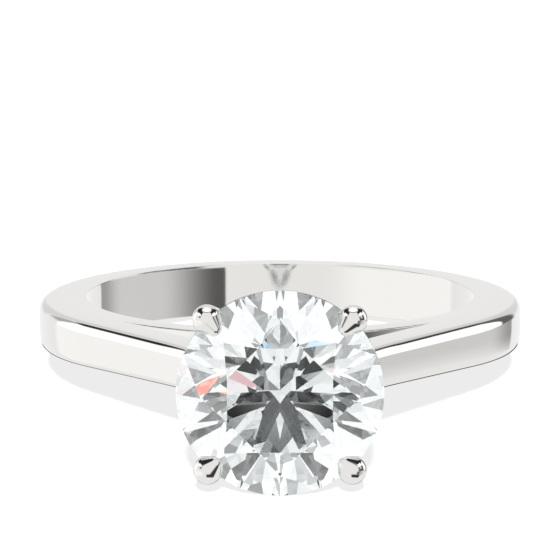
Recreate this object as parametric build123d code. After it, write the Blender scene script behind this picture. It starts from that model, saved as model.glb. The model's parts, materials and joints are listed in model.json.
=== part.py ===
from build123d import *
import math
import os

# Solitaire ring, lying on its side. Millimetres.
# Z is the finger axis, -Y points out of the stone's table, and the origin is the centre of the finger hole.
# "Height" means the distance from the finger axis towards the stone, so a height h is at Y = -h.

# Finger hole and band
BORE_R = 8.6
BACK_T = 1.5  # metal opposite the stone
BAND_R = 10.65  # outer circle, its centre shifted towards the stone
BAND_SHIFT = BAND_R - BORE_R - BACK_T
WIDTH_BACK = 2.5  # width across the finger, opposite the stone
WIDTH_FRONT = 1.84  # width across the finger, under the stone
OUTER_ROUND = 0.45  # rounding of the outer edges
BORE_ROUND = 0.06  # rounding of the edges that touch the finger
GAP_ROUND = 0.1  # rounding of the edges round the opening under each shoulder

# Shoulders and bridge
BRIDGE_R = 9.63  # outside of the strip that passes under the head
SPLIT_ANGLE = 42.0  # from the stone's axis: where shank ends and bridge and shoulders begin
APEX_ANGLE = 39.4  # where a shoulder's inner edge leaves the bridge
RISE = 50.0  # slope of the shoulders
OUTER_RUN = 5.3  # straight part of a shoulder's outer edge
OUTER_TIP = (2.32, 15.1)  # (X, height) where the outer edge ends inside the collet
INNER_RUN = 3.2  # straight part of a shoulder's inner edge
INNER_TIP = (1.5, 13.6)

# Stone: round brilliant
STONE_R = 3.75
GIRDLE_TOP = 17.28  # height of the girdle's upper edge
GIRDLE_T = 0.26
TABLE_R = 2.03  # out to the table's corners
CROWN_ANGLE = 34.1
PAVILION_ANGLE = 40.93
STAR_LENGTH = 0.51  # how far the star facets reach from table to girdle
LOWER_LENGTH = 0.797  # how far the lower girdle facets reach from girdle to culet

# Head
FOOT_TOP = 10.9  # the claws stand on the base at this height
FOOT_R = (1.40, 1.80)  # base radius at the bridge and at its top
CLAW_FOOT = (1.33, 10.9)  # (radius, height) of a claw's centre at its foot
CLAW_BEND = (3.79, 17.40)  # and where it turns in over the crown
CLAW_FOOT_T = 0.42  # radius of a claw at its foot
BEAD_R = 0.53  # radius of a claw at the bend
TIP_AT = (3.35, 17.65)  # centre of the claw's rounded point
TIP_R = 0.26
CLAW_AZIMUTH = 46.5  # of each claw, measured about the stone's axis from the direction of the shoulders
COLLET = ((1.38, 11.45), (2.52, 14.6))  # (outer radius, height) at the bottom and top of the tapered collar
COLLET_WALL = 0.45
RAIL = (2.62, 15.4)  # (radius, height) of the upper ring's centre line
RAIL_WIRE_R = 0.36

BIG = 60.0
ALONG_STONE = Plane(origin=(0, 0, 0), x_dir=(1, 0, 0), z_dir=(0, -1, 0))
HALF_STEP = math.radians(22.5)


def polar(radius, angle, side):
    """A point on a circle about the finger axis, its angle measured from the stone's axis."""
    a = math.radians(angle)
    return Vector(side * radius * math.sin(a), -radius * math.cos(a))


# ---- band, shoulders and bridge ----


def shoulder_edges(side):
    """Outer and inner edges of one shoulder: each a straight run, then a curve that steepens."""
    slope = math.radians(RISE)
    rise = Vector(-side * math.cos(slope), -math.sin(slope))
    leave = Vector(side * BAND_R * math.sin(slope), -BAND_SHIFT - BAND_R * math.cos(slope))
    outer_bend = leave + rise * OUTER_RUN
    outer_tip = Vector(side * OUTER_TIP[0], -OUTER_TIP[1])
    apex = polar(BRIDGE_R, APEX_ANGLE, side)
    inner_bend = apex + rise * INNER_RUN
    inner_tip = Vector(side * INNER_TIP[0], -INNER_TIP[1])
    outer = [Line(leave, outer_bend), TangentArc(outer_bend, outer_tip, tangent=rise)]
    inner = [Line(apex, inner_bend), TangentArc(inner_bend, inner_tip, tangent=rise)]
    return outer, Line(outer_tip, inner_tip), inner


LEFT_OUTER, LEFT_END, LEFT_INNER = shoulder_edges(-1)
RIGHT_OUTER, RIGHT_END, RIGHT_INNER = shoulder_edges(1)
BACK_ARC = ThreePointArc(LEFT_OUTER[0] @ 0, (0, BAND_R - BAND_SHIFT), RIGHT_OUTER[0] @ 0)
BRIDGE_ARC = ThreePointArc(LEFT_INNER[0] @ 0, (0, -BRIDGE_R), RIGHT_INNER[0] @ 0)
OUTER_CURVES = LEFT_OUTER + RIGHT_OUTER + [BACK_ARC]
GAP_CURVES = LEFT_INNER + RIGHT_INNER + [BRIDGE_ARC]


def width_wedge():
    """The space between the two side faces, which close in on each other towards the stone."""
    middle = (WIDTH_BACK + WIDTH_FRONT) / 4
    lean = (WIDTH_BACK - WIDTH_FRONT) / (4 * BORE_R) * BIG / 2
    front, back = middle - lean, middle + lean
    reach = BIG / 2
    outline = Polyline((-reach, -front), (reach, -back), (reach, back), (-reach, front), close=True)
    return extrude(Plane.YZ * make_face(outline), amount=reach, both=True)


def edges_over(solid, curves):
    """The solid's side-face edges that run directly over or under the given flat curves."""
    found = []
    for edge in solid.edges():
        middle = edge @ 0.5
        flat = Vertex(middle.X, middle.Y, 0)
        if abs((edge % 0.5).Z) < 0.5 and min(c.distance_to(flat) for c in curves) < 0.01:
            found.append(edge)
    return found


def ring_blank():
    """Band, shoulders and bridge in one, with every outer and finger edge rounded."""
    outline = Curve() + OUTER_CURVES + GAP_CURVES + [LEFT_END, RIGHT_END]
    face = make_face(outline.edges()) - Circle(BORE_R)
    blank = extrude(face, amount=WIDTH_BACK, both=True) & width_wedge()
    bore = CenterArc((0, 0), BORE_R, 0, 360)
    blank = fillet(edges_over(blank, OUTER_CURVES), OUTER_ROUND)
    return fillet(edges_over(blank, [bore]), BORE_ROUND)


def front_sector():
    """The sector in front of the finger hole that holds the bridge and both shoulders."""
    reach = BIG / 2
    corners = [(0, 0), polar(reach, SPLIT_ANGLE, -1), polar(reach, SPLIT_ANGLE, 1)]
    return extrude(make_face(Polyline(*corners, close=True)), amount=WIDTH_BACK, both=True)


def shank(blank):
    return blank - front_sector()


def bridge(blank):
    strip = blank & front_sector() & Cylinder(BRIDGE_R, 2 * WIDTH_BACK)
    return fillet(edges_over(strip, [CenterArc((0, 0), BRIDGE_R, 0, 360)]), GAP_ROUND)


def shoulder(blank, side, head_core):
    """One shoulder, ending on the head's taper."""
    half = Pos(side * BIG / 4, 0, 0) * Box(BIG / 2, BIG, BIG)
    piece = (blank & front_sector() & half) - Cylinder(BRIDGE_R, 2 * WIDTH_BACK)
    inner = LEFT_INNER if side < 0 else RIGHT_INNER
    return fillet(edges_over(piece, inner), GAP_ROUND) - head_core


# ---- head: modelled with the stone's axis along +Z, then turned to point along -Y ----


def frustum(bottom, top):
    """A solid of revolution between two (radius, height) pairs."""
    cone = Cone(bottom[0], top[0], top[1] - bottom[1], align=(Align.CENTER, Align.CENTER, Align.MIN))
    return Pos(0, 0, bottom[1]) * cone


def taper_at(height):
    """The collet's outside radius at a height."""
    (r0, h0), (r1, h1) = COLLET
    return r0 + (r1 - r0) * (height - h0) / (h1 - h0)


def head_core():
    """The collet's taper as a solid, carried on above and below it."""
    low, high = COLLET[0][1] - 1, COLLET[1][1] + 2
    return ALONG_STONE * frustum((taper_at(low), low), (taper_at(high), high))


def collet():
    (r0, h0), (r1, h1) = COLLET
    return frustum((r0, h0), (r1, h1)) - frustum((r0 - COLLET_WALL, h0), (r1 - COLLET_WALL, h1))


def gallery_rail():
    return Pos(0, 0, RAIL[1]) * Torus(RAIL[0], RAIL_WIRE_R)


def head_base():
    """Round foot, saddled to sit on the bridge."""
    low = BRIDGE_R - 0.4
    foot = ALONG_STONE * frustum((FOOT_R[0], low), (FOOT_R[1], FOOT_TOP))
    return foot - Cylinder(BRIDGE_R, BIG / 4)


def claw_bead():
    """Pear-shaped head of a claw: a ball drawn out to a rounded point, turned about its own length."""
    reach = Vector(TIP_AT[0] - CLAW_BEND[0], 0, TIP_AT[1] - CLAW_BEND[1])
    length = reach.length
    lean = math.asin((BEAD_R - TIP_R) / length)
    wide = Vector(BEAD_R * math.sin(lean), BEAD_R * math.cos(lean))
    narrow = Vector(length + TIP_R * math.sin(lean), TIP_R * math.cos(lean))
    half = [
        ThreePointArc((-BEAD_R, 0), (-BEAD_R * math.sin(0.5), BEAD_R * math.cos(0.5)), wide),
        Line(wide, narrow),
        ThreePointArc(narrow, (length + TIP_R * math.cos(0.4), TIP_R * math.sin(0.4)), (length + TIP_R, 0)),
        Line((length + TIP_R, 0), (-BEAD_R, 0)),
    ]
    pear = revolve(make_face(half), Axis.X)
    place = Plane(origin=(CLAW_BEND[0], 0, CLAW_BEND[1]), x_dir=reach, z_dir=(0, 1, 0))
    return place * pear


def claw_blank():
    """A claw before it is notched: tapered leg, standing on the base, with its bead."""
    foot = Vector(CLAW_FOOT[0], 0, CLAW_FOOT[1])
    bend = Vector(CLAW_BEND[0], 0, CLAW_BEND[1])
    up = (bend - foot).normalized()
    start = foot - up
    leg = Cone(CLAW_FOOT_T, BEAD_R, (bend - start).length, align=(Align.CENTER, Align.CENTER, Align.MIN))
    leg = Plane(origin=start, z_dir=up) * leg
    below_foot = Pos(0, 0, FOOT_TOP - 2) * Box(BIG, BIG, 4)
    return (leg + claw_bead()) - below_foot


def claw(azimuth, cutters):
    """One claw, notched for the stone, the rail and the collet."""
    piece = Rot(0, 0, azimuth) * claw_blank()
    for cutter in cutters:
        piece = piece - cutter
    return max(piece.solids(), key=lambda s: s.volume)


# ---- stone ----


def around(radius, azimuth, height):
    return Vector(radius * math.cos(azimuth), radius * math.sin(azimuth), height)


def cut_facet(solid, a, b, c):
    """Removes what lies outside the plane through three points."""
    middle = Vector(0, 0, GIRDLE_TOP)
    normal = (b - a).cross(c - a).normalized()
    if normal.dot(a - middle) < 0:
        normal = normal * -1
    return split(solid, bisect_by=Plane(origin=a, z_dir=normal), keep=Keep.BOTTOM)


def stone():
    """Round brilliant: table, and eight each of stars and mains, sixteen each of girdle facets, per side."""
    crown = math.tan(math.radians(CROWN_ANGLE))
    pavilion = math.tan(math.radians(PAVILION_ANGLE))
    girdle_low = GIRDLE_TOP - GIRDLE_T
    table = GIRDLE_TOP + (STONE_R - TABLE_R) * crown
    culet = girdle_low - STONE_R * pavilion
    table_flat = TABLE_R * math.cos(HALF_STEP)
    star_r = table_flat + STAR_LENGTH * (STONE_R - table_flat)
    star_h = GIRDLE_TOP + (STONE_R - star_r * math.cos(HALF_STEP)) * crown
    lower_r = (1 - LOWER_LENGTH) * STONE_R
    lower_h = culet + lower_r * math.cos(HALF_STEP) * pavilion
    body = Pos(0, 0, culet) * Cylinder(STONE_R, table - culet, align=(Align.CENTER, Align.CENTER, Align.MIN))
    for step in range(8):
        flat = 2 * step * HALF_STEP
        star_tip = around(star_r, flat, star_h)
        lower_tip = around(lower_r, flat, lower_h)
        low, high = flat - HALF_STEP, flat + HALF_STEP
        body = cut_facet(body, star_tip, around(TABLE_R, low, table), around(TABLE_R, high, table))
        next_star = around(star_r, flat + 2 * HALF_STEP, star_h)
        next_lower = around(lower_r, flat + 2 * HALF_STEP, lower_h)
        body = cut_facet(body, around(STONE_R, high, GIRDLE_TOP), star_tip, next_star)
        body = cut_facet(body, around(0, 0, culet), lower_tip, next_lower)
        for corner in (low, high):
            top_a, top_b = around(STONE_R, corner, GIRDLE_TOP), around(STONE_R, flat, GIRDLE_TOP)
            low_a, low_b = around(STONE_R, corner, girdle_low), around(STONE_R, flat, girdle_low)
            body = cut_facet(body, star_tip, top_a, top_b)
            body = cut_facet(body, lower_tip, low_a, low_b)
    return body


def build():
    blank = ring_blank()
    core = head_core()
    gem = stone()
    rail = gallery_rail()
    collar = collet()
    pieces = {
        "shank": shank(blank),
        "bridge": bridge(blank),
        "shoulder_left": shoulder(blank, -1, core),
        "shoulder_right": shoulder(blank, 1, core),
        "head_base": head_base(),
        "gallery_collet": ALONG_STONE * collar,
        "gallery_rail": ALONG_STONE * rail,
        "stone": ALONG_STONE * gem,
    }
    azimuths = (CLAW_AZIMUTH, 180 - CLAW_AZIMUTH, 180 + CLAW_AZIMUTH, -CLAW_AZIMUTH)
    for number, azimuth in enumerate(azimuths, start=1):
        pieces[f"claw_{number}"] = ALONG_STONE * claw(azimuth, (gem, rail, collar))
    return pieces


os.makedirs("parts", exist_ok=True)
for name, piece in build().items():
    export_step(piece, f"parts/{name}.step")
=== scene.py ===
import json
import math

import bmesh
import bpy
import numpy as np
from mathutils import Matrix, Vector

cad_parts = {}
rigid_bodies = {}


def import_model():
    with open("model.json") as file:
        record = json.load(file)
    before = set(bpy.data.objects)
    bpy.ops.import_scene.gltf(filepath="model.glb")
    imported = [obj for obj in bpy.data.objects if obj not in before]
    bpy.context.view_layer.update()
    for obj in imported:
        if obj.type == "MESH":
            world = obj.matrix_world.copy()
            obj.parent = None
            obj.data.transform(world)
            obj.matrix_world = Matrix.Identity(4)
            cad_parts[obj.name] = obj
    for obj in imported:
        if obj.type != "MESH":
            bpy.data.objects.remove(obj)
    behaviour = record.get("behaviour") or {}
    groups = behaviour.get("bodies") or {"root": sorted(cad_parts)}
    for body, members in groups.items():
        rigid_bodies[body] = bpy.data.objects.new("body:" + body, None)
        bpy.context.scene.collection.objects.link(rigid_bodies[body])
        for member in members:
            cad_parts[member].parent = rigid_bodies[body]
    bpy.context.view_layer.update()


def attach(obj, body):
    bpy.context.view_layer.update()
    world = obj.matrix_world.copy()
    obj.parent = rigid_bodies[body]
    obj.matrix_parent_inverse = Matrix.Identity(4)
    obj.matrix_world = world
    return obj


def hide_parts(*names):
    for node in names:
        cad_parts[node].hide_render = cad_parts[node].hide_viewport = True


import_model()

MM = 0.001

# The ring's dimensions, in millimetres, as in the CAD except for slightly smaller edge roundings.
# A height is a distance from the finger axis towards the stone.
BORE_R = 8.6
BAND_R = 10.65
BAND_SHIFT = 0.55
HALF_MID = 1.085
HALF_SLOPE = 0.66 / (4 * BORE_R)
OUTER_ROUND = 0.42
DOME_R = 6.5
BORE_ROUND = 0.035
GAP_ROUND = 0.07
SEAM_ROUND = 0.012  # rounding of those edges where the pieces meet
BRIDGE_R = 9.63
SPLIT = math.radians(42.0)
APEX = math.radians(39.4)
RISE = math.radians(50.0)
OUTER_RUN = 5.3
OUTER_TIP = (2.32, 15.1)
INNER_RUN = 3.2
INNER_TIP = (1.5, 13.6)
STONE_R = 3.75
GIRDLE_TOP = 17.28
GIRDLE_T = 0.26
TABLE_R = 2.03
CROWN = math.tan(math.radians(34.1))
PAVILION = math.tan(math.radians(40.93))
STAR_LENGTH = 0.51
LOWER_LENGTH = 0.797
FOOT_TOP = 10.9
FOOT_R = (1.40, 1.80)
CLAW_FOOT = (1.33, 10.9)
CLAW_BEND = (3.79, 17.40)
CLAW_FOOT_T = 0.42
BEAD_R = 0.53
TIP_AT = (3.35, 17.65)
TIP_R = 0.26
CLAW_AZIMUTH = 46.5
COLLET = ((1.38, 11.45), (2.52, 14.6))
COLLET_WALL = 0.45
RAIL = (2.62, 15.4)
RAIL_WIRE_R = 0.36
COLLET_ROUND = 0.07
FOOT_ROUND = 0.06
SHOULDER_TRIM = 0.18  # how far the shoulders reach into the collet
SHOULDER_STEPS = 161
SHARP_ANGLE = math.radians(30)


# ---- mesh helpers ----


def half_width(y):
    """Half the band's width at a place along Y: the side faces close in towards the stone."""
    return HALF_MID + HALF_SLOPE * y


def add_piece(name, verts, faces, replaced, material):
    """A mesh in millimetres that stands for one CAD node."""
    mesh = bpy.data.meshes.new(name)
    mesh.from_pydata([tuple(c * MM for c in v) for v in verts], [], faces)
    mesh.validate()
    bm = bmesh.new()
    bm.from_mesh(mesh)
    bmesh.ops.recalc_face_normals(bm, faces=bm.faces)
    bm.to_mesh(mesh)
    bm.free()
    mesh.shade_smooth()
    mesh.set_sharp_from_angle(angle=SHARP_ANGLE)
    mesh.materials.append(material)
    obj = bpy.data.objects.new(name, mesh)
    bpy.context.scene.collection.objects.link(obj)
    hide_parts(replaced)
    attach(obj, "root")
    return obj


def loft(sections, closed=False):
    """Vertices and faces of a skin through equal loops of points, capped at both ends unless closed."""
    count = len(sections[0])
    verts = [tuple(p) for s in sections for p in s]
    faces = []
    rows = len(sections)
    for i in range(rows if closed else rows - 1):
        j = (i + 1) % rows
        for k in range(count):
            m = (k + 1) % count
            faces.append((i * count + k, i * count + m, j * count + m, j * count + k))
    if not closed:
        faces.append(tuple(range(count)))
        faces.append(tuple((rows - 1) * count + k for k in range(count)))
    return verts, faces


def arc_points(cx, cy, radius, start, end, count):
    return [
        (cx + radius * math.cos(a), cy + radius * math.sin(a)) for a in np.linspace(start, end, count)
    ]


def band_section(inner, outer, round_in, round_out, dome=None):
    """One loop across the metal between two (X, Y) points: flat sides, rounded edges, crowned outside.

    The loop is drawn with half the outer width as its unit, and scaled at the end.
    """
    inner, outer = np.array(inner), np.array(outer)
    length = np.linalg.norm(outer - inner)
    h_in, h_out = half_width(inner[1]), half_width(outer[1])
    ri, ro = round_in / h_out, round_out / h_out
    half = []
    if dome:
        radius = dome / h_out
        zc = 1 - ro
        sc = math.sqrt((radius - ro) ** 2 - zc**2)
        lean = math.atan2(zc, sc)
        base = length / h_out - radius
        half += arc_points(base, 0, radius, 0, lean, 9)
        half += arc_points(base + sc, zc, ro, lean, math.pi / 2, 13)[1:]
    else:
        top = length / h_out
        half += [(top, t * (1 - ro)) for t in np.linspace(0, 1, 5)]
        half += arc_points(top - ro, 1 - ro, ro, 0, math.pi / 2, 9)[1:]
    half += arc_points(ri, 1 - ri, ri, math.pi / 2, math.pi, 9)
    half += [(0, t * (1 - ri)) for t in np.linspace(1, 0, 5)][1:]
    loop = half + [(s, -z) for s, z in reversed(half[1:-1])]
    direction = (outer - inner) / length
    points = []
    for s, z in loop:
        s *= h_out
        p = inner + direction * s
        width = h_in + (h_out - h_in) * s / length
        points.append((p[0], p[1], z * width))
    return points


def outline_radius(angle):
    """Distance from the finger axis to the band's outer face, at an angle from the stone's axis."""
    turn = abs((angle + math.pi) % (2 * math.pi) - math.pi)
    along = BAND_SHIFT * math.cos(turn)
    leave = math.atan2(BAND_R * math.sin(RISE), BAND_SHIFT + BAND_R * math.cos(RISE))
    if turn < leave:
        return (BAND_R + BAND_SHIFT * math.cos(RISE)) / math.cos(RISE - turn)
    return along + math.sqrt(along**2 - BAND_SHIFT**2 + BAND_R**2)


def polar(radius, angle):
    return np.array((radius * math.sin(angle), -radius * math.cos(angle)))


def shank_mesh():
    sections = []
    for a in np.linspace(SPLIT, 2 * math.pi - SPLIT, 361):
        outer = polar(outline_radius(a), a)
        sections.append(band_section(polar(BORE_R, a), outer, BORE_ROUND, OUTER_ROUND, DOME_R))
    return loft(sections)


def bridge_mesh():
    sections = []
    for a in np.linspace(-SPLIT, SPLIT, 121):
        ease = min(max((APEX - abs(a)) / math.radians(4), 0), 1)
        edge = SEAM_ROUND + (GAP_ROUND - SEAM_ROUND) * ease
        sections.append(band_section(polar(BORE_R, a), polar(BRIDGE_R, a), BORE_ROUND, edge))
    return loft(sections)


def run_and_curve(start, length, tip, steps):
    """Points along a straight run at the shoulders' slope, then an arc that ends at tip."""
    rise = np.array((-math.cos(RISE), -math.sin(RISE)))
    bend = start + rise * length
    chord = np.array(tip) - bend
    reach = np.linalg.norm(chord)
    side = rise[0] * chord[1] - rise[1] * chord[0]
    turn = math.asin(side / reach)
    radius = reach / (2 * math.sin(abs(turn)))
    normal = np.array((-rise[1], rise[0])) * math.copysign(1, turn)
    centre = bend + normal * radius
    points = [start + rise * length * t for t in np.linspace(0, 1, steps)[:-1]]
    for t in np.linspace(0, 2 * turn, steps):
        c, s = math.cos(t), math.sin(t)
        arm = bend - centre
        points.append(centre + np.array((c * arm[0] - s * arm[1], s * arm[0] + c * arm[1])))
    return np.array(points)


def resample(points, count):
    """Points evenly spaced along a polyline."""
    steps = np.r_[0, np.cumsum(np.linalg.norm(np.diff(points, axis=0), axis=1))]
    at = np.linspace(0, steps[-1], count)
    return np.c_[np.interp(at, steps, points[:, 0]), np.interp(at, steps, points[:, 1])]


def cone_radius(height):
    (r0, h0), (r1, h1) = COLLET
    return r0 + (r1 - r0) * (height - h0) / (h1 - h0)


def trim_at_cone(points, inside):
    """Cuts a polyline where it is a little way inside the collet's taper."""
    keep = [p for p in points if abs(p[0]) > cone_radius(-p[1]) - inside]
    return np.array(keep)


def shoulder_mesh(side):
    """Right shoulder, mirrored for the left one."""
    start = polar(outline_radius(SPLIT), SPLIT)
    leave = np.array((BAND_R * math.sin(RISE), -BAND_SHIFT - BAND_R * math.cos(RISE)))
    run = OUTER_RUN - np.linalg.norm(start - leave)
    outer = run_and_curve(start, run, (OUTER_TIP[0], -OUTER_TIP[1]), 200)
    apex = polar(BRIDGE_R, APEX)
    foot = np.array([polar(BRIDGE_R, a) for a in np.linspace(SPLIT, APEX, 20)])
    inner = np.vstack((foot[:-1], run_and_curve(apex, INNER_RUN, (INNER_TIP[0], -INNER_TIP[1]), 200)))
    outer = resample(trim_at_cone(outer, SHOULDER_TRIM), SHOULDER_STEPS)
    inner = resample(trim_at_cone(inner, SHOULDER_TRIM), SHOULDER_STEPS)
    sections = []
    for k, (i, o) in enumerate(zip(inner, outer)):
        ease = min(max((k / (SHOULDER_STEPS - 1) - 0.06) / 0.06, 0), 1)
        section = band_section(i, o, SEAM_ROUND + (GAP_ROUND - SEAM_ROUND) * ease, OUTER_ROUND, DOME_R)
        sections.append([(side * x, y, z) for x, y, z in section])
    return loft(sections)


def to_ring(points):
    """Turns points modelled with the stone's axis along +Z so that it points along -Y."""
    return [(x, -h, y) for x, y, h in points]


def spin(profile, count=128):
    """A closed profile of (radius, height) points turned about the stone's axis."""
    sections = []
    for a in np.linspace(0, 2 * math.pi, count, endpoint=False):
        sections.append(to_ring([(r * math.cos(a), r * math.sin(a), h) for r, h in profile]))
    return loft(sections, closed=True)


def rounded(corners, radius, count=6):
    """A closed polygon with its corners rounded."""
    out = []
    n = len(corners)
    for k in range(n):
        p = np.array(corners[k], float)
        a = np.array(corners[k - 1], float) - p
        b = np.array(corners[(k + 1) % n], float) - p
        a /= np.linalg.norm(a)
        b /= np.linalg.norm(b)
        half = math.acos(np.clip(a @ b, -1, 1)) / 2
        centre = p + (a + b) / np.linalg.norm(a + b) * radius / math.sin(half)
        first = p + a * radius / math.tan(half) - centre
        last = p + b * radius / math.tan(half) - centre
        for t in np.linspace(0, 1, count):
            v = first * (1 - t) + last * t
            out.append(tuple(centre + v / np.linalg.norm(v) * radius))
    return out


def collet_mesh():
    (r0, h0), (r1, h1) = COLLET
    wall = [(r0, h0), (r1, h1), (r1 - COLLET_WALL, h1), (r0 - COLLET_WALL, h0)]
    return spin(rounded(wall, COLLET_ROUND))


def rail_mesh():
    return spin(arc_points(RAIL[0], RAIL[1], RAIL_WIRE_R, 0, 2 * math.pi, 33)[:-1])


def base_mesh():
    """Foot under the claws, saddled to the bridge."""
    rings = []
    slope = (FOOT_R[1] - FOOT_R[0]) / (FOOT_TOP - BRIDGE_R + 0.4)
    azimuths = np.linspace(0, 2 * math.pi, 128, endpoint=False)

    def saddle(r, a):
        return math.sqrt(BRIDGE_R**2 - (r * math.cos(a)) ** 2)

    def ring(make):
        rings.append(to_ring([make(a) for a in azimuths]))

    for r in (0.3, 0.7, 1.1, 1.35):
        ring(lambda a: (r * math.cos(a), r * math.sin(a), saddle(r, a)))
    for t in np.linspace(0.04, 1, 12):
        def wall(a):
            low = saddle(1.4, a)
            h = low + (FOOT_TOP - FOOT_ROUND - low) * t
            r = FOOT_R[0] + slope * (h - BRIDGE_R + 0.4)
            return (r * math.cos(a), r * math.sin(a), h)
        ring(wall)
    for r, h in arc_points(FOOT_R[1] - FOOT_ROUND, FOOT_TOP - FOOT_ROUND, FOOT_ROUND, 0.2, math.pi / 2, 5):
        ring(lambda a: (r * math.cos(a), r * math.sin(a), h))
    for r in (1.4, 1.0, 0.5, 0.2):
        ring(lambda a: (r * math.cos(a), r * math.sin(a), FOOT_TOP))
    return loft(rings)


def cone_exit(direction, axis, length, r0, r1):
    """How far a ray from the big ball's centre goes before it leaves the hull of two balls."""
    lean = (r0 - r1) / length
    c = float(direction @ axis)
    s = math.sqrt(max(1 - c * c, 0))
    # Surface directions, measured from the axis: big ball, then the straight flank, then the small ball
    wide = math.acos(lean)
    if math.atan2(s, c) >= wide:
        return r0
    flank = math.sqrt(1 - lean * lean)
    t = r0 / (s * flank + c * lean) if (s * flank + c * lean) > 1e-9 else 1e9
    along = t * c
    foot = length + r1 * lean
    if along <= foot:
        return t
    b = length * c
    return b + math.sqrt(max(b * b - length * length + r1 * r1, 0))


def claw_points():
    """Leg and bead together as one skin about the centre of the bead, in the plane of a diagonal."""
    centre = np.array((CLAW_BEND[0], 0.0, CLAW_BEND[1]))
    foot = np.array((CLAW_FOOT[0], 0.0, CLAW_FOOT[1]))
    tip = np.array((TIP_AT[0], 0.0, TIP_AT[1]))
    leg_axis = foot - centre
    leg_length = np.linalg.norm(leg_axis) + 0.8
    leg_axis /= np.linalg.norm(leg_axis)
    tip_axis = tip - centre
    tip_length = np.linalg.norm(tip_axis)
    tip_axis /= tip_length
    side = np.array((0.0, 1.0, 0.0))
    out = np.cross(leg_axis, side)
    near = [math.atan2(CLAW_FOOT_T * t, leg_length) for t in (0.25, 0.6)]
    along = np.geomspace(leg_length, 0.5, 60)
    thick = BEAD_R + (CLAW_FOOT_T - BEAD_R) * along / leg_length
    bead = np.linspace(math.radians(48), math.radians(179), 60)
    angles = [*near, *np.arctan2(thick, along), *bead]
    rings = []
    for polar_angle in angles:
        ring = []
        for a in np.linspace(0, 2 * math.pi, 64, endpoint=False):
            across = out * math.cos(a) + side * math.sin(a)
            d = leg_axis * math.cos(polar_angle) + across * math.sin(polar_angle)
            reach = max(
                cone_exit(d, leg_axis, leg_length, BEAD_R, CLAW_FOOT_T),
                cone_exit(d, tip_axis, tip_length, BEAD_R, TIP_R),
            )
            ring.append(centre + d * reach)
        rings.append(ring)
    return rings


def cut(obj, cutter):
    """Takes cutter away from obj for good."""
    mod = obj.modifiers.new("cut", "BOOLEAN")
    mod.object = cutter
    mod.operation = "DIFFERENCE"
    mod.solver = "EXACT"
    bpy.context.view_layer.update()
    graph = bpy.context.evaluated_depsgraph_get()
    mesh = bpy.data.meshes.new_from_object(obj.evaluated_get(graph))
    obj.modifiers.clear()
    obj.data = mesh


def around(radius, azimuth, height):
    return np.array((radius * math.cos(azimuth), radius * math.sin(azimuth), height))


def stone_mesh():
    """Round brilliant, cut from a fine-sided drum by the planes of its facets."""
    girdle_low = GIRDLE_TOP - GIRDLE_T
    step = math.radians(22.5)
    table = GIRDLE_TOP + (STONE_R - TABLE_R) * CROWN
    culet = girdle_low - STONE_R * PAVILION
    flat_r = TABLE_R * math.cos(step)
    star_r = flat_r + STAR_LENGTH * (STONE_R - flat_r)
    star_h = GIRDLE_TOP + (STONE_R - star_r * math.cos(step)) * CROWN
    lower_r = (1 - LOWER_LENGTH) * STONE_R
    lower_h = culet + lower_r * math.cos(step) * PAVILION
    planes = []
    for k in range(8):
        flat = 2 * k * step
        low, high = flat - step, flat + step
        star_tip, lower_tip = around(star_r, flat, star_h), around(lower_r, flat, lower_h)
        next_star = around(star_r, flat + 2 * step, star_h)
        next_lower = around(lower_r, flat + 2 * step, lower_h)
        planes.append((star_tip, around(TABLE_R, low, table), around(TABLE_R, high, table)))
        planes.append((around(STONE_R, high, GIRDLE_TOP), star_tip, next_star))
        planes.append((around(0, 0, culet), lower_tip, next_lower))
        for corner in (low, high):
            planes.append((star_tip, around(STONE_R, corner, GIRDLE_TOP), around(STONE_R, flat, GIRDLE_TOP)))
            planes.append((lower_tip, around(STONE_R, corner, girdle_low), around(STONE_R, flat, girdle_low)))
    bm = bmesh.new()
    sides = 192
    rings = []
    for h in (culet - 0.5, table):
        rings.append([bm.verts.new(around(STONE_R, 2 * math.pi * k / sides, h)) for k in range(sides)])
    bm.faces.new(rings[0][::-1])
    bm.faces.new(rings[1])
    for k in range(sides):
        m = (k + 1) % sides
        bm.faces.new((rings[0][k], rings[0][m], rings[1][m], rings[1][k]))
    middle = np.array((0, 0, GIRDLE_TOP))
    for a, b, c in planes:
        normal = np.cross(b - a, c - a)
        normal /= np.linalg.norm(normal)
        if normal @ (a - middle) < 0:
            normal = -normal
        bmesh.ops.bisect_plane(
            bm, geom=bm.verts[:] + bm.edges[:] + bm.faces[:], dist=1e-4,
            plane_co=Vector(a), plane_no=Vector(normal), clear_outer=True,
        )
        open_edges = [e for e in bm.edges if e.is_boundary]
        if open_edges:
            bmesh.ops.edgeloop_fill(bm, edges=open_edges)
    for v in bm.verts:
        x, y, h = v.co
        v.co = Vector((x, -h, y)) * MM
    bmesh.ops.recalc_face_normals(bm, faces=bm.faces)
    return bm


# ---- materials ----


def new_material(name):
    mat = bpy.data.materials.new(name)
    mat.use_nodes = True
    mat.node_tree.nodes.clear()
    return mat, mat.node_tree.nodes, mat.node_tree.links


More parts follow.
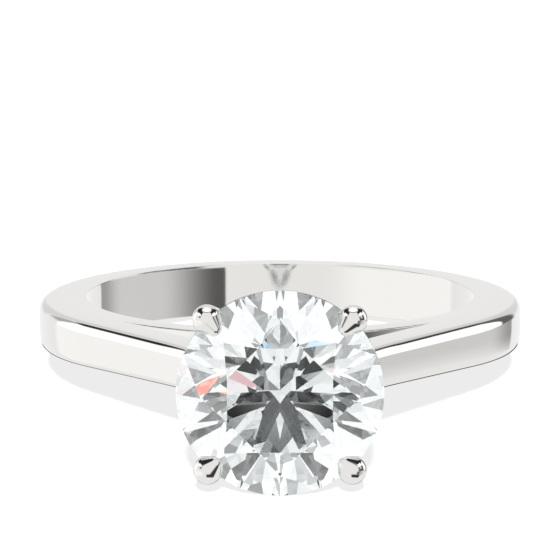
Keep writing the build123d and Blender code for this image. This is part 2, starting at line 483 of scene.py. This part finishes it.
def polished_metal(name, colour, scratch_scale, scratch_depth):
    """White precious metal at high polish: faint uneven buffing and hairline scratches."""
    mat, nodes, links = new_material(name)
    out = nodes.new("ShaderNodeOutputMaterial")
    bsdf = nodes.new("ShaderNodeBsdfPrincipled")
    bsdf.inputs["Base Color"].default_value = (*colour, 1)
    bsdf.inputs["Metallic"].default_value = 1.0
    coords = nodes.new("ShaderNodeTexCoord")
    cloud = nodes.new("ShaderNodeTexNoise")
    cloud.inputs["Scale"].default_value = 420.0
    cloud.inputs["Detail"].default_value = 4.0
    rough = nodes.new("ShaderNodeMapRange")
    rough.inputs["From Min"].default_value = 0.3
    rough.inputs["From Max"].default_value = 0.7
    rough.inputs["To Min"].default_value = 0.035
    rough.inputs["To Max"].default_value = 0.06
    stretch = nodes.new("ShaderNodeMapping")
    stretch.inputs["Scale"].default_value = (1.0, 1.0, 14.0)
    hair = nodes.new("ShaderNodeTexNoise")
    hair.inputs["Scale"].default_value = scratch_scale
    hair.inputs["Detail"].default_value = 6.0
    hair.inputs["Roughness"].default_value = 0.7
    bump = nodes.new("ShaderNodeBump")
    bump.inputs["Strength"].default_value = scratch_depth
    bump.inputs["Distance"].default_value = 0.00002
    links.new(coords.outputs["Object"], cloud.inputs["Vector"])
    links.new(cloud.outputs["Fac"], rough.inputs["Value"])
    links.new(rough.outputs["Result"], bsdf.inputs["Roughness"])
    links.new(coords.outputs["Object"], stretch.inputs["Vector"])
    links.new(stretch.outputs["Vector"], hair.inputs["Vector"])
    links.new(hair.outputs["Fac"], bump.inputs["Height"])
    links.new(bump.outputs["Normal"], bsdf.inputs["Normal"])
    links.new(bsdf.outputs["BSDF"], out.inputs["Surface"])
    return mat


def diamond(name):
    mat, nodes, links = new_material(name)
    out = nodes.new("ShaderNodeOutputMaterial")
    glass = nodes.new("ShaderNodeBsdfGlass")
    glass.inputs["IOR"].default_value = 2.417
    glass.inputs["Roughness"].default_value = 0.0
    glass.inputs["Color"].default_value = (0.99, 1.0, 1.0, 1)
    links.new(glass.outputs["BSDF"], out.inputs["Surface"])
    return mat


def paper(name, colour, glow):
    """Matt paper that glows, so that the frontal light leaves only a faint shadow on it."""
    mat, nodes, links = new_material(name)
    out = nodes.new("ShaderNodeOutputMaterial")
    bsdf = nodes.new("ShaderNodeBsdfPrincipled")
    bsdf.inputs["Base Color"].default_value = (*colour, 1)
    bsdf.inputs["Roughness"].default_value = 1.0
    bsdf.inputs["Specular IOR Level"].default_value = 0.0
    bsdf.inputs["Emission Color"].default_value = (1, 1, 1, 1)
    bsdf.inputs["Emission Strength"].default_value = glow
    links.new(bsdf.outputs["BSDF"], out.inputs["Surface"])
    return mat


band_metal = polished_metal("band_metal", (0.78, 0.77, 0.75), 2600.0, 0.02)
head_metal = polished_metal("head_metal", (0.79, 0.78, 0.76), 3400.0, 0.02)
gem = diamond("diamond")

# ---- pieces ----

verts, faces = shank_mesh()
add_piece("shank_polished", verts, faces, "shank", band_metal)
verts, faces = bridge_mesh()
add_piece("bridge_polished", verts, faces, "bridge", band_metal)
for side, part in ((-1, "shoulder_left"), (1, "shoulder_right")):
    verts, faces = shoulder_mesh(side)
    add_piece(part + "_polished", verts, faces, part, band_metal)
verts, faces = base_mesh()
add_piece("base_polished", verts, faces, "head_base", head_metal)
verts, faces = collet_mesh()
add_piece("collet_polished", verts, faces, "gallery_collet", head_metal)
verts, faces = rail_mesh()
add_piece("rail_polished", verts, faces, "gallery_rail", head_metal)

stone_bm = stone_mesh()
stone_data = bpy.data.meshes.new("brilliant")
stone_bm.to_mesh(stone_data)
stone_bm.free()
stone_data.materials.append(gem)
stone = bpy.data.objects.new("brilliant", stone_data)
bpy.context.scene.collection.objects.link(stone)
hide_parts("stone")
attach(stone, "root")

base_rings = claw_points()
for number, azimuth in enumerate((CLAW_AZIMUTH, 180 - CLAW_AZIMUTH, 180 + CLAW_AZIMUTH, -CLAW_AZIMUTH)):
    a = math.radians(azimuth)
    turned = []
    for ring in base_rings:
        turned.append(to_ring([
            (x * math.cos(a) - y * math.sin(a), x * math.sin(a) + y * math.cos(a), h) for x, y, h in ring
        ]))
    verts, faces = loft(turned)
    part = f"claw_{number + 1}"
    claw = add_piece(part + "_polished", verts, faces, part, head_metal)
    cut(claw, stone)
    claw.data.set_sharp_from_angle(angle=SHARP_ANGLE)

# The metal is hidden from reflection and refraction, so the tones on metal and stone stay as clean as in a
# product picture.
for obj in bpy.context.scene.objects:
    if obj.name.endswith("_polished"):
        obj.visible_glossy = False
        obj.visible_transmission = False

# ---- stage ----

scene = bpy.context.scene
scene.view_settings.view_transform = "Standard"
scene.view_settings.look = "None"
scene.cycles.max_bounces = 32
scene.cycles.glossy_bounces = 12
scene.cycles.transmission_bounces = 32
scene.cycles.transparent_max_bounces = 8
scene.cycles.caustics_reflective = False
scene.cycles.caustics_refractive = False


def node(tree, kind, operation=None, **inputs):
    """A node with some of its inputs set, or linked when the value given is another node's output."""
    made = tree.nodes.new(kind)
    if operation:
        made.operation = operation
    for key, value in inputs.items():
        socket = made.inputs[int(key[2:])] if key.startswith("in") else made.inputs[key.replace("_", " ")]
        if isinstance(value, bpy.types.NodeSocket):
            tree.links.new(value, socket)
        else:
            socket.default_value = value
    return made


def window(tree, angle, low, high, soft_low, soft_high):
    """1 between low and high, 0 outside, with a soft step at either end."""
    masks = []
    for at, soft, first, last in ((low, soft_low, 0, 1), (high, soft_high, 1, 0)):
        step = node(tree, "ShaderNodeMapRange", Value=angle)
        step.interpolation_type = "SMOOTHSTEP"
        step.inputs["From Min"].default_value = at - soft
        step.inputs["From Max"].default_value = at + soft
        step.inputs["To Min"].default_value = first
        step.inputs["To Max"].default_value = last
        masks.append(step.outputs["Result"])
    return node(tree, "ShaderNodeMath", "MULTIPLY", in0=masks[0], in1=masks[1]).outputs[0]


# Walls, soft boxes and flags of the studio, as seen from the ring, in degrees: left and right (azimuth, 0 in
# front of the stone), bottom and top (elevation), the softness of each of those edges, and brightness.
# Later ones cover earlier ones. The metal is lit by one studio and the stone by another.
METAL_STUDIO = [
    ("back_right", 146, 200, 3, 50, 2, 1, 3, 4, 0.80),
    ("back_left", -200, -146, 3, 50, 1, 2, 3, 4, 0.80),
    ("behind_right", 166, 200, -5, 30, 4, 1, 3, 8, 0.94),
    ("behind_left", -200, -166, -5, 30, 1, 4, 3, 8, 0.94),
    ("below_right", 158, 200, -38, -12, 5, 1, 4, 1, 0.03),
    ("below_left", -200, -160, -34, -12, 1, 4, 4, 1, 0.15),
    ("left_low", -130, -40, -34, -4, 3, 15, 4, 0.3, 1.15),
    ("left_strip", -128, -100, -4, 33, 1, 1, 0.3, 1, 1.4),
    ("left_corner", -143, -128, 12, 31, 4, 1, 5, 2, 0.5),
    ("left_wall", -70, -50, 14, 27, 4, 6, 3, 3, 0.2),
    ("right_wall", 50, 98, -4, 27, 6, 2, 0.3, 4, 0.1),
    ("right_slot", 62, 80, 10, 25, 3, 3, 4, 2, 0.8),
    ("right_strip", 100, 128, -4, 33, 1, 1, 0.3, 1, 1.4),
    ("right_corner", 127, 144, -5, 39, 1, 4, 1, 2, 0.15),
    ("left_high", -142, -48, 32, 62, 3, 5, 2, 4, 0.03),
    ("left_window", -97, -57, 27, 40, 5, 5, 4, 3, 1.5),
    ("right_high", 48, 135, 34, 62, 5, 4, 1, 4, 0.03),
    ("right_window", 55, 95, 26, 44, 3, 3, 2, 2, 1.5),
    ("front_line", -48, 48, 61, 66, 5, 5, 1.5, 1.5, 0.1),
    ("zenith", -200, 200, 69, 95, 1, 1, 2, 1, 1.45),
    ("low_front", -10, 62, -50, -24, 4, 4, 4, 5, 0.05),
    ("right_flag", 34.5, 141, -13, -4.4, 0.3, 0.5, 5, 0.3, 0.75),
    ("right_flag_low", 34.5, 96, -28, -4.4, 0.3, 4, 4, 0.3, 0.75),
    ("right_flag_near", 34.5, 60, -28, -4.4, 0.3, 22, 4, 0.3, 0.12),
    ("right_flag_far", 126, 141, -12, -4.4, 12, 0.5, 3, 0.3, 0.4),
]
# The stone stands in a bright tent, open to a dark room at the back, with a gap over the camera and cards
# below.
STONE_STUDIO = [
    ("room_right", 100, 200, -20, 60, 5, 5, 5, 5, 0.1),
    ("room_left", -200, -100, -20, 60, 5, 5, 5, 5, 0.1),
    ("box_left", -60, -40, 20, 50, 3, 3, 3, 3, 1.5),
    ("box_right", 40, 60, 20, 50, 3, 3, 3, 3, 1.5),
    ("gap_above", -20, 20, 30, 60, 3, 3, 3, 3, 0.3),
    ("card_left", -40, -20, 10, 20, 3, 3, 3, 3, 0.3),
    ("card_low_left", -20, 0, -40, -20, 3, 3, 3, 3, 0.1),
    ("card_low_right", 20, 60, -40, 0, 3, 3, 3, 3, 0.4),
    ("tripod", -10, 10, -20, -10, 3, 3, 3, 3, 0.0),
    ("camera", -15, 15, -10, 10, 3, 3, 3, 3, 0.0),
]
STONE_FILL = 1.1
# The few directions in which the stone splits the light into colours.
FIRE = [
    ("red", 15, 20, 43, 47, 1.5, 1.5, 1.5, 1.5, (1.5, 0.4, 0.3)),
    ("orange", 27, 33, -44, -40, 1, 1, 1, 1, (1.4, 0.6, 0.3)),
    ("pink", -21, -15, 15, 24, 2, 2, 2, 2, (1.1, 0.7, 0.75)),
    ("blue", 40, 44, -14, -10, 1, 1, 1, 1, (0.5, 0.8, 1.05)),
    ("sky", -29, -25, 22, 26, 1, 1, 1, 1, (0.7, 0.9, 1.1)),
]


def blend(tree, below, above, mask):
    mix = node(tree, "ShaderNodeMix", Factor=mask)
    mix.data_type = "RGBA"
    colours = [socket for socket in mix.inputs if socket.type == "RGBA"]
    for socket, value in zip(colours, (below, above)):
        if isinstance(value, bpy.types.NodeSocket):
            tree.links.new(value, socket)
        else:
            socket.default_value = (*value, 1)
    return next(socket for socket in mix.outputs if socket.type == "RGBA")


def studio_light(tree, azimuth, elevation, panels, fill):
    light = (fill, fill, fill)
    for _, left, right, bottom, top, soft_l, soft_r, soft_b, soft_t, brightness in panels:
        across = window(tree, azimuth, left, right, soft_l, soft_r)
        along = window(tree, elevation, bottom, top, soft_b, soft_t)
        mask = node(tree, "ShaderNodeMath", "MULTIPLY", in0=across, in1=along).outputs[0]
        colour = brightness if isinstance(brightness, tuple) else (brightness,) * 3
        light = blend(tree, light, colour, mask)
    return light


def studio_world():
    """Metal sees the one studio, the perfectly sharp rays of the stone the other, the camera plain white."""
    world = bpy.data.worlds.new("studio")
    world.use_nodes = True
    tree = world.node_tree
    tree.nodes.clear()
    look = node(tree, "ShaderNodeTexCoord").outputs["Generated"]
    split = node(tree, "ShaderNodeSeparateXYZ", Vector=look).outputs
    front = node(tree, "ShaderNodeMath", "MULTIPLY", in0=split["Y"], in1=-1.0).outputs[0]
    turn = node(tree, "ShaderNodeMath", "ARCTAN2", in0=split["X"], in1=front).outputs[0]
    azimuth = node(tree, "ShaderNodeMath", "MULTIPLY", in0=turn, in1=180 / math.pi).outputs[0]
    up = node(tree, "ShaderNodeMath", "ARCSINE", in0=split["Z"]).outputs[0]
    elevation = node(tree, "ShaderNodeMath", "MULTIPLY", in0=up, in1=180 / math.pi).outputs[0]
    on_metal = studio_light(tree, azimuth, elevation, METAL_STUDIO, 1.0)
    in_stone = studio_light(tree, azimuth, elevation, STONE_STUDIO + FIRE, STONE_FILL)
    ray = node(tree, "ShaderNodeLightPath").outputs
    light = blend(tree, on_metal, in_stone, ray["Is Singular Ray"])
    light = blend(tree, light, (1, 1, 1), ray["Is Camera Ray"])
    background = node(tree, "ShaderNodeBackground", Color=light)
    node(tree, "ShaderNodeOutputWorld", Surface=background.outputs[0])
    return world


scene.world = studio_world()
scene.world.cycles_visibility.diffuse = False

# The ring lies on the stone and the back of its band, so the paper under it is tilted in this frame.
REST_BACK = (9.8, -1.29)
REST_FRONT = (-17.2, -3.78)
FLOOR_REACH = 1500


def floor_height(y):
    (y0, z0), (y1, z1) = REST_BACK, REST_FRONT
    return z0 + (z1 - z0) * (y - y0) / (y1 - y0)


def floor_mesh():
    corners = [(-1, -1), (1, -1), (1, 1), (-1, 1)]
    verts = []
    for x, y in corners:
        y *= FLOOR_REACH
        verts.append((x * FLOOR_REACH * MM, y * MM, floor_height(y) * MM))
    mesh = bpy.data.meshes.new("floor")
    mesh.from_pydata(verts, [], [(0, 1, 2, 3)])
    mesh.materials.append(paper("floor_paper", (0.95, 0.95, 0.95), 0.84))
    return mesh


floor = bpy.data.objects.new("floor", floor_mesh())
scene.collection.objects.link(floor)
floor.visible_glossy = False
floor.visible_transmission = False


def distant_light(name, elevation, spread, strength):
    """A low frontal light that reaches only the paper: it does not show in the metal or the stone."""
    data = bpy.data.lights.new(name, "SUN")
    data.energy = strength
    data.angle = math.radians(spread)
    obj = bpy.data.objects.new(name, data)
    obj.rotation_euler = (math.radians(90 - elevation), 0, 0)
    obj.visible_glossy = False
    obj.visible_transmission = False
    scene.collection.objects.link(obj)
    return obj


distant_light("frontal", 31, 5.0, 2.0)

# The camera looks slightly down at the stone from about five finger holes away.
SENSOR = 36
FOCAL_PX = 1920.4  # focal length in pixels of a picture 560 wide
CAMERA_AT = (0, -85, 13.914)
CAMERA_DIP = 8.207

camera_data = bpy.data.cameras.new("camera")
camera_data.sensor_width = SENSOR
camera_data.lens = FOCAL_PX / 560 * SENSOR
camera_data.clip_start = 0.001
camera_data.clip_end = 10
camera = bpy.data.objects.new("camera", camera_data)
camera.location = Vector(CAMERA_AT) * MM
camera.rotation_euler = (math.radians(90 - CAMERA_DIP), 0, 0)
scene.collection.objects.link(camera)
scene.camera = camera
